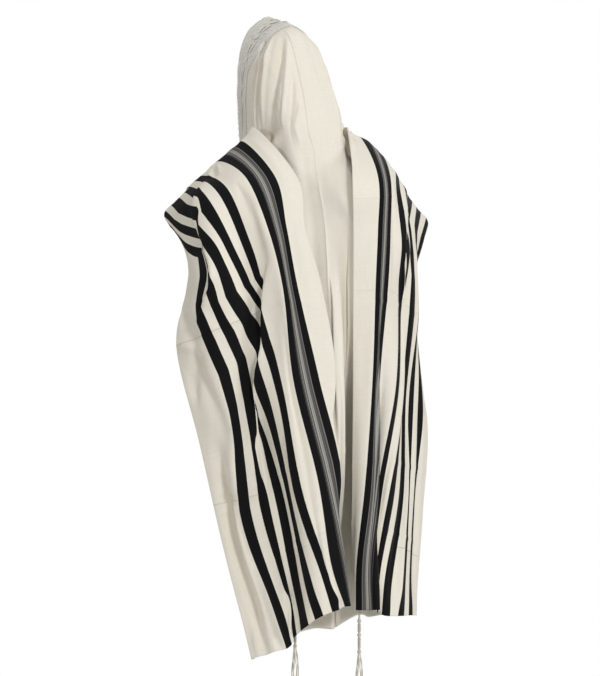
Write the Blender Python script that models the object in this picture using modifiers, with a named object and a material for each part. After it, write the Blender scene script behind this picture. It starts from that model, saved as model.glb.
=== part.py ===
"""Tallit prayer shawl, worn over the head with both striped ends thrown back over the shoulders.

Metres, +Z up. The front of the garment faces -Y and the wearer's left is +X.
The origin is the underside of the crown of the hood, where the head holds the cloth up.
"""
import bpy
import bmesh
import math
import mathutils
import numpy as np

# The woven cloth: its wall, the gaps that its pieces keep to each other, the widths of one end
# thrown over a shoulder (whole, at its corner and in front of it), and the lace on the hood
MM = 0.001
WALL = 0.002
SEAM = 0.0003
COLLAR_GAP = 0.0009
JOIN_GAP = 0.0016
FOLD_GAP = 0.0036
RIDGE_GAP = 0.006
END_WIDTH = 0.46
CORNER_WIDTH = 0.325
LAP_WIDTH = 0.29
LACE_WALL = 0.001
LACE_ROWS = 7

# Distances from the woven end of the shawl to the lines that the sections follow
GUIDES = (0.0, 0.055, 0.095, 0.135, 0.207, 0.25, 0.30, 0.347, 0.392, END_WIDTH)

# Sections of the left end, from the shoulder down to the hem: name, height of the woven end,
# how steeply the section sinks towards the arm, width that stays level, and the plan (x, y)
# in millimetres at each guide
LEFT_SECTIONS = (
    ("ridge", -0.244, 0.52, 0.00, ((93, 45), (115, 29), (139, 17), (163, 3), (199, -24),
                                   (219, -49), (237, -77), (254, -102), (238, -111), (221, -81))),
    ("shoulder blade", -0.362, 0.58, 0.16, ((49, 164), (96, 154), (126, 143), (156, 132), (203, 115),
                                            (241, 103), (253, 48), (254, 3), (254, 14), (234, 1))),
    ("upper arm", -0.472, 0.43, 0.16, ((54, 212), (94, 204), (113, 203), (134, 197), (172, 157),
                                       (209, 162), (241, 169), (260, 155), (269, 123), (262, 55))),
    ("elbow", -0.600, 0.40, 0.15, ((26, 236), (79, 228), (97, 227), (111, 224), (134, 175),
                                   (148, 163), (195, 174), (231, 168), (258, 145), (284, 55))),
    ("forearm", -0.790, 0.43, 0.15, ((1, 248), (41, 251), (70, 249), (97, 244), (115, 228),
                                     (130, 199), (140, 155), (172, 163), (204, 164), (244, 85))),
    ("thigh", -1.000, 0.43, 0.15, ((27, 232), (-4, 261), (27, 276), (56, 277), (89, 256),
                                   (89, 212), (99, 191), (126, 178), (166, 171), (206, 119))),
    ("knee", -1.170, 0.43, 0.16, ((62, 188), (18, 222), (-12, 265), (30, 282), (47, 293),
                                  (72, 265), (80, 222), (85, 198), (117, 205), (173, 151))),
    ("hem", -1.268, 0.46, 0.22, ((86, 172), (31, 208), (-26, 258), (-9, 269), (31, 311),
                                 (64, 301), (88, 279), (93, 249), (105, 243), (166, 187))),
)
RIGHT_SECTIONS = (
    ("ridge", -0.220, 0.54, 0.00, ((-121, 78), (-148, 80), (-173, 80), (-198, 81), (-240, 68),
                                   (-262, 56), (-286, 45), (-313, 36), (-341, 32), (-324, 30))),
    ("shoulder blade", -0.362, 0.48, 0.16, ((-47, 232), (-102, 246), (-120, 241), (-140, 231), (-171, 201),
                                            (-204, 172), (-242, 135), (-281, 98), (-311, 68), (-309, 34))),
    ("upper arm", -0.471, 0.37, 0.15, ((-42, 246), (-92, 264), (-110, 259), (-130, 248), (-172, 213),
                                       (-221, 169), (-246, 137), (-268, 103), (-283, 66), (-295, 16))),
    ("elbow", -0.599, 0.28, 0.15, ((-42, 246), (-85, 266), (-101, 262), (-120, 254), (-175, 203),
                                   (-201, 177), (-239, 145), (-272, 105), (-289, 69), (-300, 7))),
    ("forearm", -0.790, 0.31, 0.15, ((-44, 241), (-77, 267), (-89, 262), (-104, 247), (-154, 237),
                                     (-188, 187), (-213, 155), (-240, 134), (-282, 109), (-322, 62))),
    ("thigh", -1.003, 0.29, 0.15, ((-43, 241), (-61, 266), (-85, 260), (-97, 233), (-113, 235),
                                   (-140, 231), (-190, 188), (-214, 166), (-250, 139), (-294, 93))),
    ("knee", -1.171, 0.27, 0.15, ((-47, 237), (-43, 263), (-60, 276), (-84, 271), (-107, 215),
                                  (-116, 220), (-143, 221), (-189, 193), (-227, 161), (-269, 114))),
    ("hem", -1.277, 0.14, 0.14, ((-64, 251), (-39, 266), (-59, 279), (-84, 282), (-104, 225),
                                 (-114, 219), (-125, 235), (-172, 213), (-217, 178), (-257, 131))),
)

# The short lap of each end that hangs in front of the shoulder: name, forward, down, inward, and
# how much of that drop is left at each guide, because its hem climbs to the arm
FRONT_LAPS = (
    ("lap hem", 0.050, 0.340, 0.020),
    ("chest", 0.062, 0.170, 0.012),
    ("collarbone", 0.038, 0.030, 0.000),
)
LAP_SHARES = (1.0, 1.0, 1.0, 0.97, 0.74, 0.42, 0.28, 0.24, 0.22, 0.22)
LAP_BULGE = 0.3

# The stretch down the back, between the two under layers: name, height and plan (x, y) in millimetres
# left of the centre crease, on it and right of it
BACK_SECTIONS = (
    ("shoulder blade", -0.362, ((36, 146), (-10, 160), (-48, 180))),
    ("upper arm", -0.472, ((36, 188), (-10, 200), (-46, 198))),
    ("elbow", -0.600, ((30, 206), (-10, 222), (-36, 200))),
    ("forearm", -0.790, ((24, 218), (-14, 234), (-34, 200))),
    ("thigh", -1.000, ((16, 196), (-18, 222), (-36, 194))),
    ("knee", -1.170, ((8, 158), (-22, 182), (-38, 168))),
    ("hem", -1.330, ((0, 150), (-26, 176), (-40, 160))),
)

# The layer under each end: name, height at the back stretch and plan (x, y) in millimetres at the
# back stretch, at half of the back and at the side; it meets the end at its front fold
LEFT_UNDER = (
    ("under ridge", -0.258, ((58, 62), (136, 46), (205, -10))),
    ("shoulder blade", -0.367, ((70, 112), (150, 96), (212, 66))),
    ("upper arm", -0.477, ((85, 165), (160, 132), (225, 115))),
    ("elbow", -0.607, ((70, 185), (115, 142), (200, 135))),
    ("forearm", -0.797, ((60, 190), (112, 134), (190, 125))),
    ("thigh", -1.007, ((50, 178), (92, 152), (150, 140))),
    ("knee", -1.177, ((40, 148), (78, 152), (125, 152))),
    ("hem", -1.338, ((36, 138), (84, 142), (130, 156))),
)
RIGHT_UNDER = (
    ("under ridge", -0.258, ((-82, 62), (-150, 80), (-240, 42))),
    ("shoulder blade", -0.367, ((-90, 185), (-150, 160), (-230, 90))),
    ("upper arm", -0.477, ((-90, 215), (-160, 170), (-235, 90))),
    ("elbow", -0.607, ((-88, 214), (-160, 165), (-240, 85))),
    ("forearm", -0.797, ((-85, 205), (-150, 158), (-235, 90))),
    ("thigh", -1.007, ((-85, 195), (-130, 182), (-215, 105))),
    ("knee", -1.177, ((-80, 195), (-110, 176), (-190, 115))),
    ("hem", -1.304, ((-75, 186), (-115, 174), (-185, 122))),
)
UNDER_SHARES = (0.0, 0.33, 0.68, 1.0)

# Distances along the inner cloth to its guides, from the left front fold to the right one
INNER_PLACES = (0.0, 0.13, 0.25, 0.35, 0.40, 0.45, 0.49, 0.54, 0.64, 0.76, 0.89)
LEFT_JOIN = 0.35
RIGHT_JOIN = 0.54

# Arches of the hood from the face to the nape: name, top (y, z), half width, foot (y, z), half foot,
# how squarely it spreads (a lower number is squarer), lean to the left, and how far its top slopes
# down to each side
HOOD_ARCHES = (
    ("face", -0.104, 0.034, 0.086, -0.078, -0.2580, 0.080, 0.46, 0.000, 0.052),
    ("brow", -0.050, 0.016, 0.086, -0.048, -0.2580, 0.080, 0.58, 0.000, 0.040),
    ("crown", 0.006, 0.000, 0.084, -0.014, -0.2540, 0.078, 0.74, 0.000, 0.026),
    ("back of crown", 0.056, -0.032, 0.084, 0.014, -0.2520, 0.074, 0.80, -0.002, 0.016),
    ("back of head", 0.092, -0.106, 0.084, 0.034, -0.2520, 0.070, 0.78, -0.006, 0.006),
    ("nape", 0.118, -0.186, 0.088, 0.048, -0.2520, 0.070, 0.72, -0.014, 0.000),
    ("collar", 0.136, -0.248, 0.080, 0.060, -0.2535, 0.070, 0.60, -0.014, 0.000),
)
ARCH_RISE = 0.72

# Tassels at the four corners: a knotted cord that hangs from the edge of the cloth, as distance
# down and radius, then eight loose strands whose roots are fused into its last knot. TASSEL_SET is
# its distance from the woven end, TASSEL_HANG how far its top lies below the cloth.
TASSEL_SET = 0.022
TASSEL_HANG = {"back": 0.0004, "front": 0.0026}
CORD_SIDES = 8
CORD_STATIONS = (
    ("cord", 0.0, 0.0020), ("cord", 0.018, 0.0020), ("first knot", 0.023, 0.0050),
    ("first knot", 0.029, 0.0028), ("winding", 0.048, 0.0028), ("second knot", 0.053, 0.0050),
    ("second knot", 0.059, 0.0028), ("winding", 0.080, 0.0028), ("last knot", 0.086, 0.0058),
    ("last knot", 0.096, 0.0056),
)
STRANDS = 8
STRAND_SIDES = 4
STRAND_RING = 0.0038
STRAND_RADIUS = 0.0011
STRAND_TOP = 0.092
STRAND_LENGTH = 0.20
STRAND_STEPS = 5
STRAND_SPREAD = 0.009
STRAND_SWAY = 0.004


def clear_scene():
    for item in list(bpy.data.objects):
        bpy.data.objects.remove(item, do_unlink=True)


def material(name, colour, roughness):
    """Plain cloth or thread finish."""
    finish = bpy.data.materials.new(name)
    finish.use_nodes = True
    shader = finish.node_tree.nodes["Principled BSDF"]
    shader.inputs["Base Color"].default_value = (*colour, 1.0)
    shader.inputs["Roughness"].default_value = roughness
    shader.inputs["Metallic"].default_value = 0.0
    return finish


def smooth_rows(net, knots, samples):
    """Cubic curve through the rows of a net, with tangents that fit uneven spacing."""
    net = np.asarray(net, float)
    knots = np.asarray(knots, float)
    step = np.diff(knots)
    slope = np.diff(net, axis=0) / step.reshape(-1, *([1] * (net.ndim - 1)))
    tangent = np.empty_like(net)
    tangent[0] = slope[0]
    tangent[-1] = slope[-1]
    for i in range(1, len(knots) - 1):
        share = step[i] / (step[i - 1] + step[i])
        tangent[i] = share * slope[i - 1] + (1.0 - share) * slope[i]
    rows = []
    for value in samples:
        i = int(np.clip(np.searchsorted(knots, value) - 1, 0, len(step) - 1))
        t = (value - knots[i]) / step[i]
        rows.append((2 * t**3 - 3 * t**2 + 1) * net[i] + (t**3 - 2 * t**2 + t) * step[i] * tangent[i]
                    + (3 * t**2 - 2 * t**3) * net[i + 1] + (t**3 - t**2) * step[i] * tangent[i + 1])
    return np.array(rows)


def end_net(sections, side):
    """Points of one thrown-back end: rows from the lap in front, over the shoulder, to the hem."""
    rows = []
    for name, height, slope, level, plan in sections:
        sink = slope * np.maximum(0.0, np.array(GUIDES) - level)
        rows.append([(x * MM, y * MM, height - s) for (x, y), s in zip(plan, sink)])
    ridge = np.array(rows[0])
    share = np.array(LAP_SHARES)[:, None] ** (1.0, LAP_BULGE, 1.0)
    laps = [ridge + share * np.array((-side * inward, -forward, -down))
            for name, forward, down, inward in FRONT_LAPS]
    return np.array(laps + rows)


def end_surface(sections, side, distances, stations):
    """Grid of points on an end at distances from its woven end and at stations along its length."""
    net = end_net(sections, side)
    across = smooth_rows(net.transpose(1, 0, 2), GUIDES, distances)
    return smooth_rows(across.transpose(1, 0, 2), range(len(net)), stations)


def under_net(rows, sections, side):
    """Rows of one under layer, from the back stretch to just inside the end's front fold."""
    first = len(FRONT_LAPS)
    fold = end_surface(sections, side, (END_WIDTH,), range(first, first + len(rows)))[:, 0]
    net = []
    for (name, height, plan), front in zip(rows, fold):
        inner = front + np.array((-side * FOLD_GAP, 0.0, 0.0))
        net.append([(x * MM, y * MM, height + share * (inner[2] - height))
                    for (x, y), share in zip(plan, UNDER_SHARES)] + [tuple(inner)])
    return np.array(net)


def inner_surface(places, stations):
    """Grid of the inner cloth, from the left front fold round the back to the right front fold."""
    left = under_net(LEFT_UNDER, LEFT_SECTIONS, 1)
    right = under_net(RIGHT_UNDER, RIGHT_SECTIONS, -1)
    nape = hood_surface((0.25, 0.5, 0.75), (len(HOOD_ARCHES) - 1,))[0]
    middle = [nape - (0.0, 0.0, COLLAR_GAP)]
    for name, height, plan in BACK_SECTIONS:
        middle.append(np.array([(x * MM, y * MM, height) for x, y in plan]))
    net = np.concatenate((left[:, ::-1], np.array(middle), right), axis=1)
    across = smooth_rows(net.transpose(1, 0, 2), INNER_PLACES, places)
    return smooth_rows(across.transpose(1, 0, 2), range(len(net)), stations)


def hood_surface(turns, stations):
    """Grid of the hood: arches from the left foot over the head to the right foot."""
    table = np.array([row[1:] for row in HOOD_ARCHES])
    arches = smooth_rows(table, range(len(table)), stations)
    rows = []
    for top_y, top_z, half, foot_y, foot_z, half_foot, fullness, lean, gable in arches:
        row = []
        for turn in turns:
            angle = math.pi * (0.5 - turn)
            rise = abs(math.cos(angle)) ** ARCH_RISE
            wide = math.copysign(abs(math.sin(angle)) ** fullness, angle)
            width = half_foot + (half - half_foot) * rise
            high = foot_z + (top_z - foot_z) * rise - gable * abs(wide) * rise
            row.append((lean + width * wide, foot_y + (top_y - foot_y) * rise, high))
        rows.append(row)
    return np.array(rows)


def outward(points, distance):
    """The same grid, moved out along its normals; rows run down and columns towards the right."""
    along = np.gradient(points, axis=0)
    across = np.gradient(points, axis=1)
    normal = np.cross(along, across)
    normal /= np.linalg.norm(normal, axis=2, keepdims=True)
    return points + normal * distance


def grid_object(name, points, finish, collection, wall=WALL):
    """Cloth wall: a grid laid on the points of its inner face, thickened outward."""
    rows, columns = points.shape[:2]
    mesh = bpy.data.meshes.new(name)
    form = bmesh.new()
    bmesh.ops.create_grid(form, x_segments=columns - 1, y_segments=rows - 1, size=0.5)
    for vertex, place in zip(form.verts, points.reshape(-1, 3)):
        vertex.co = place
    form.to_mesh(mesh)
    form.free()
    mesh.shade_smooth()
    mesh.materials.append(finish)
    piece = bpy.data.objects.new(name, mesh)
    collection.objects.link(piece)
    thicken = piece.modifiers.new("Wall", "SOLIDIFY")
    thicken.thickness = wall
    thicken.offset = -1.0
    return piece


def grow_down(form, sides, stations):
    """A closed many-sided body through the stations, each a centre and a radius, from the top down."""
    centre, radius = stations[0]
    made = bmesh.ops.create_circle(form, cap_ends=True, radius=radius, segments=sides)
    bmesh.ops.translate(form, verts=made["verts"], vec=centre)
    top = made["verts"][0].link_faces[0]
    if top.normal.z < 0.0:
        bmesh.ops.reverse_faces(form, faces=[top])
    rim = list(top.edges)
    for below, wanted in stations[1:]:
        made = bmesh.ops.extrude_edge_only(form, edges=rim)["geom"]
        verts = [item for item in made if isinstance(item, bmesh.types.BMVert)]
        rim = [item for item in made if isinstance(item, bmesh.types.BMEdge)]
        rim = [edge for edge in rim if edge.verts[0] in verts and edge.verts[1] in verts]
        middle = sum((vert.co for vert in verts), mathutils.Vector()) / len(verts)
        for vert in verts:
            vert.co = mathutils.Vector(below) + (vert.co - middle) * (wanted / radius)
        radius = wanted
    bmesh.ops.contextual_create(form, geom=rim)
    bmesh.ops.recalc_face_normals(form, faces=form.faces)


def body_object(name, form, finish, collection):
    mesh = bpy.data.meshes.new(name)
    form.to_mesh(mesh)
    form.free()
    mesh.shade_smooth()
    mesh.set_sharp_from_angle(angle=math.radians(50))
    mesh.materials.append(finish)
    piece = bpy.data.objects.new(name, mesh)
    collection.objects.link(piece)
    return piece


def tassel(name, corner, finish, collection, cutters):
    """One corner tassel, hanging from a point on the edge of the cloth."""
    form = bmesh.new()
    corner = mathutils.Vector(corner)
    grow_down(form, CORD_SIDES, [(corner - mathutils.Vector((0, 0, drop)), radius)
                                 for part, drop, radius in CORD_STATIONS])
    cord = body_object(name, form, finish, collection)
    form = bmesh.new()
    for strand in range(STRANDS):
        angle = math.tau * strand / STRANDS
        direction = mathutils.Vector((math.cos(angle), math.sin(angle), 0.0))
        stations = []
        for step in range(STRAND_STEPS + 1):
            share = step / STRAND_STEPS
            length = STRAND_LENGTH * (1.0 - 0.06 * (strand % 3))
            sway = STRAND_SWAY * math.sin(math.pi * share * 1.5 + strand)
            out = STRAND_RING + STRAND_SPREAD * share
            place = corner + direction * out + mathutils.Vector((sway * share, 0.0, 0.0))
            place.z -= STRAND_TOP + length * share
            stations.append((place, STRAND_RADIUS * (1.0 - 0.25 * share)))
        grow_down(form, STRAND_SIDES, stations)
    strands = body_object(name + "_strands", form, finish, cutters)
    strands.hide_render = True
    strands.display_type = "WIRE"
    fuse = cord.modifiers.new("Roots", "BOOLEAN")
    fuse.operation = "UNION"
    fuse.solver = "EXACT"
    fuse.object = strands


def build():
    clear_scene()
    collection = bpy.data.collections.new("tallit_prayer_shawl")
    bpy.context.scene.collection.children.link(collection)
    cutters = bpy.data.collections.new("cutters")
    bpy.context.scene.collection.children.link(cutters)
    wool = (0.80, 0.77, 0.70)
    white = (0.88, 0.87, 0.83)
    arches = len(HOOD_ARCHES) - 1
    first = len(FRONT_LAPS)

    hood = hood_surface(np.linspace(0.0, 1.0, 31), np.linspace(0, arches, 19))
    grid_object("hood", hood, material("hood wool", wool, 0.85), collection)
    band = outward(hood, WALL + SEAM)[:LACE_ROWS]
    grid_object("neckband_lace", band, material("white lace", white, 0.75), collection, LACE_WALL)
    heights = np.linspace(0, len(BACK_SECTIONS), 22)
    stretches = (("left_under", 0.0, LEFT_JOIN - JOIN_GAP, 13), ("back_stretch", LEFT_JOIN, RIGHT_JOIN, 13),
                 ("right_under", RIGHT_JOIN + JOIN_GAP, INNER_PLACES[-1], 13))
    for name, start, stop, count in stretches:
        points = inner_surface(np.linspace(start, stop, count), heights)
        grid_object(name, points, material(name.replace("_", " ") + " wool", wool, 0.85), collection)
    for side_name, side, sections in (("left", 1, LEFT_SECTIONS), ("right", -1, RIGHT_SECTIONS)):
        last = first + len(sections) - 1
        down = np.linspace(first + RIDGE_GAP, last, 25)
        pieces = (
            ("end", end_surface(sections, side, np.linspace(0.0, CORNER_WIDTH - SEAM, 21), down)),
            ("sleeve", end_surface(sections, side, np.linspace(CORNER_WIDTH + JOIN_GAP, END_WIDTH, 9), down)),
            ("lap", end_surface(sections, side, np.linspace(0.0, LAP_WIDTH, 15),
                                np.linspace(0, first - RIDGE_GAP, 9))),
        )
        for piece_name, points in pieces:
            ordered = points[:, ::-1] if side > 0 else points
            finish = material(side_name + " " + piece_name + " wool", wool, 0.85)
            grid_object(side_name + "_" + piece_name, ordered, finish, collection)
        for corner_name, station in (("back", last), ("front", 0)):
            corner = end_surface(sections, side, (TASSEL_SET,), (station,))[0, 0]
            corner = corner - np.array((0.0, 0.0, TASSEL_HANG[corner_name]))
            name = side_name + "_" + corner_name + "_tassel"
            tassel(name, corner, material(name + " thread", white, 0.8), collection, cutters)


build()
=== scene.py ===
import math

import bmesh
import bpy
import numpy as np
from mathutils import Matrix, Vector
from mathutils.kdtree import KDTree


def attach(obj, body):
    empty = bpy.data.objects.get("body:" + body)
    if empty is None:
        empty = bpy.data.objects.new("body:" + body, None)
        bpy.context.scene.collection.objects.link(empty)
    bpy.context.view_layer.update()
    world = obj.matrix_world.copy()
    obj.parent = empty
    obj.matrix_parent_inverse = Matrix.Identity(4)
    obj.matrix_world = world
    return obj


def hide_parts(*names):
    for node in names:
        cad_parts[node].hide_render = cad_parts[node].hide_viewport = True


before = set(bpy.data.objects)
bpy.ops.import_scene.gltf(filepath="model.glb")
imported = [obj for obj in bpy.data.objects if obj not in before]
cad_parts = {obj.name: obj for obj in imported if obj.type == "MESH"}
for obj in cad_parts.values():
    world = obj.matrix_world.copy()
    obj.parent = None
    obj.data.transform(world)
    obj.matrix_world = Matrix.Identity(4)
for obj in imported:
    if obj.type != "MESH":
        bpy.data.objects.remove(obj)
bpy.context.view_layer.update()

SCENE = bpy.context.scene

# Half the wall of the solids, the cloth's thickness, the cloth between two stations, the gaps that
# its layers keep, and how wide an end and its lap are, in metres
MM = 0.001
HALF_WALL = 0.001
CLOTH = 0.0012
STATION = 0.15
FOLD_GAP = 0.0036
COLLAR_GAP = 0.0009
END_WIDTH = 0.46
LAP_WIDTH = 0.24

# Distances from the woven end of the shawl to the lines that the sections follow
GUIDES = (0.0, 0.055, 0.095, 0.135, 0.207, 0.25, 0.3, 0.347, 0.392, END_WIDTH)

# Sections of the ends at the ridge, shoulder blade, upper arm, elbow, forearm, thigh, knee and hem:
# height of the woven end, how steeply the section sinks towards the arm, width that stays level,
# and the plan (x, y) in millimetres at each guide
LEFT_SECTIONS = (
    (-0.244, 0.52, 0.0, ((93, 45), (115, 29), (139, 17), (163, 3), (199, -24),
        (219, -49), (237, -77), (254, -102), (238, -111), (221, -81))),
    (-0.362, 0.58, 0.16, ((49, 164), (96, 154), (126, 143), (156, 132), (203, 115),
        (241, 103), (253, 48), (254, 3), (254, 14), (234, 1))),
    (-0.472, 0.43, 0.16, ((54, 212), (94, 204), (113, 203), (134, 197), (172, 157),
        (209, 162), (241, 169), (260, 155), (269, 123), (262, 55))),
    (-0.6, 0.4, 0.15, ((26, 236), (79, 228), (97, 227), (111, 224), (134, 175),
        (148, 163), (195, 174), (231, 168), (258, 145), (284, 55))),
    (-0.79, 0.43, 0.15, ((1, 248), (41, 251), (70, 249), (97, 244), (115, 228),
        (130, 199), (140, 155), (172, 163), (204, 164), (244, 85))),
    (-1.0, 0.43, 0.15, ((27, 232), (-4, 261), (27, 276), (56, 277), (89, 256),
        (89, 212), (99, 191), (126, 178), (166, 171), (206, 119))),
    (-1.17, 0.43, 0.16, ((62, 188), (18, 222), (-12, 265), (30, 282), (47, 293),
        (72, 265), (80, 222), (85, 198), (117, 205), (173, 151))),
    (-1.268, 0.46, 0.22, ((86, 172), (31, 208), (-26, 258), (-9, 269), (31, 311),
        (64, 301), (88, 279), (93, 249), (105, 243), (166, 187))),
)
RIGHT_SECTIONS = (
    (-0.22, 0.54, 0.0, ((-121, 78), (-148, 80), (-173, 80), (-198, 81), (-240, 68),
        (-262, 56), (-286, 45), (-313, 36), (-341, 32), (-324, 30))),
    (-0.362, 0.48, 0.16, ((-47, 232), (-102, 246), (-120, 241), (-140, 231), (-171, 201),
        (-204, 172), (-242, 135), (-281, 98), (-311, 68), (-309, 34))),
    (-0.471, 0.37, 0.15, ((-42, 246), (-92, 264), (-110, 259), (-130, 248), (-172, 213),
        (-221, 169), (-246, 137), (-268, 103), (-283, 66), (-295, 16))),
    (-0.599, 0.28, 0.15, ((-42, 246), (-85, 266), (-101, 262), (-120, 254), (-175, 203),
        (-201, 177), (-239, 145), (-272, 105), (-289, 69), (-300, 7))),
    (-0.79, 0.31, 0.15, ((-44, 241), (-77, 267), (-89, 262), (-104, 247), (-154, 237),
        (-188, 187), (-213, 155), (-240, 134), (-282, 109), (-322, 62))),
    (-1.003, 0.29, 0.15, ((-43, 241), (-61, 266), (-85, 260), (-97, 233), (-113, 235),
        (-140, 231), (-190, 188), (-214, 166), (-250, 139), (-294, 93))),
    (-1.171, 0.27, 0.15, ((-47, 237), (-43, 263), (-60, 276), (-84, 271), (-107, 215),
        (-116, 220), (-143, 221), (-189, 193), (-227, 161), (-269, 114))),
    (-1.277, 0.14, 0.14, ((-64, 251), (-39, 266), (-59, 279), (-84, 282), (-104, 225),
        (-114, 219), (-125, 235), (-172, 213), (-217, 178), (-257, 131))),
)
SIDES = (("left", 1, LEFT_SECTIONS), ("right", -1, RIGHT_SECTIONS))

# The short lap of each end in front of the shoulder, at its hem, the chest and the collarbone:
# forward, down, inward, and how much of that drop is left at each guide, as its hem climbs to the arm
FRONT_LAPS = (
    (0.05, 0.34, 0.02),
    (0.062, 0.17, 0.012),
    (0.038, 0.03, 0.0),
)
LAP_SHARES = (1.0, 1.0, 1.0, 0.97, 0.74, 0.42, 0.28, 0.24, 0.22, 0.22)
LAP_BULGE = 0.3

# The stretch down the back, between the two under layers, from the shoulder blade to the hem: height
# and plan (x, y) in millimetres left of the centre crease, on it and right of it
BACK_SECTIONS = (
    (-0.362, ((36, 146), (-10, 160), (-48, 180))),
    (-0.472, ((36, 188), (-10, 200), (-46, 198))),
    (-0.6, ((30, 206), (-10, 222), (-36, 200))),
    (-0.79, ((24, 218), (-14, 234), (-34, 200))),
    (-1.0, ((16, 196), (-18, 222), (-36, 194))),
    (-1.17, ((8, 158), (-22, 182), (-38, 168))),
    (-1.33, ((0, 150), (-26, 176), (-40, 160))),
)

# The layer under each end, from the ridge to the hem: height at the back stretch and plan (x, y) in
# millimetres at the back stretch, at half of the back and at the side; it meets the end at its front
# fold
LEFT_UNDER = (
    (-0.258, ((58, 62), (136, 46), (205, -10))),
    (-0.367, ((70, 112), (150, 96), (212, 66))),
    (-0.477, ((85, 165), (160, 132), (225, 115))),
    (-0.607, ((70, 185), (115, 142), (200, 135))),
    (-0.797, ((60, 190), (112, 134), (190, 125))),
    (-1.007, ((50, 178), (92, 152), (150, 140))),
    (-1.177, ((40, 148), (78, 152), (125, 152))),
    (-1.338, ((36, 138), (84, 142), (130, 156))),
)
RIGHT_UNDER = (
    (-0.258, ((-82, 62), (-150, 80), (-240, 42))),
    (-0.367, ((-90, 185), (-150, 160), (-230, 90))),
    (-0.477, ((-90, 215), (-160, 170), (-235, 90))),
    (-0.607, ((-88, 214), (-160, 165), (-240, 85))),
    (-0.797, ((-85, 205), (-150, 158), (-235, 90))),
    (-1.007, ((-85, 195), (-130, 182), (-215, 105))),
    (-1.177, ((-80, 195), (-110, 176), (-190, 115))),
    (-1.304, ((-75, 186), (-115, 174), (-185, 122))),
)
UNDER_SHARES = (0.0, 0.33, 0.68, 1.0)

# Distances along the inner cloth to its guides, from the left front fold to the right one
INNER_PLACES = (0.0, 0.13, 0.25, 0.35, 0.4, 0.45, 0.49, 0.54, 0.64, 0.76, 0.89)

# Arches of the hood from the face over the crown to the collar, in metres: top (y, z), half width,
# foot (y, z), half foot, how squarely it spreads (a lower number is squarer), lean to the left, and
# how far its top slopes down to each side
HOOD_ARCHES = (
    (-0.104, 0.034, 0.086, -0.078, -0.258, 0.08, 0.46, 0.0, 0.052),
    (-0.05, 0.016, 0.086, -0.048, -0.258, 0.08, 0.58, 0.0, 0.04),
    (0.006, 0.0, 0.084, -0.014, -0.254, 0.078, 0.74, 0.0, 0.026),
    (0.056, -0.032, 0.084, 0.014, -0.252, 0.074, 0.8, -0.002, 0.016),
    (0.092, -0.106, 0.084, 0.034, -0.252, 0.07, 0.78, -0.006, 0.006),
    (0.118, -0.186, 0.088, 0.048, -0.252, 0.07, 0.72, -0.014, 0.0),
    (0.136, -0.248, 0.08, 0.06, -0.2535, 0.07, 0.6, -0.014, 0.0),
)
ARCH_RISE = 0.72

# Tassels at the four corners: a knotted and wound cord that hangs from the edge of the cloth, then
# loose strands whose roots are fused into its last knot. TASSEL_SET is its distance from the woven
# end, TASSEL_HANG how far its top lies below the cloth.
TASSEL_SET = 0.022
TASSEL_HANG = {"back": 0.0004, "front": 0.0026}
STRANDS = 8
STRAND_RING = 0.0038
STRAND_TOP = 0.092
STRAND_LENGTH = 0.20
STRAND_SPREAD = 0.009
STRAND_SWAY = 0.004
CORD_PLIES = 4
CORD_LENGTH = 0.094
KNOTS = (0.025, 0.055, 0.09)
WINDINGS = ((0.031, 0.048), (0.061, 0.083))
WINDING_TURNS = 9

# Stripes of an end, the band's two black borders first: distances from the woven end in metres. Then
# where each fine line of the band starts, and its grey.
BLACK_STRIPES = (
    (0.055, 0.079), (0.111, 0.135), (0.195, 0.218), (0.239, 0.262),
    (0.283, 0.315), (0.336, 0.359), (0.38, 0.403),
)
BAND_LINES = (
    (0.079, 0.27), (0.0806, 0.09), (0.0838, 0.055), (0.0852, 0.12), (0.0885, 0.06), (0.0902, 0.34),
    (0.094, 0.26), (0.0955, 0.44), (0.099, 0.22), (0.1004, 0.06), (0.103, 0.33), (0.105, 0.045),
    (0.1068, 0.2), (0.108, 0.01),
)

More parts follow.
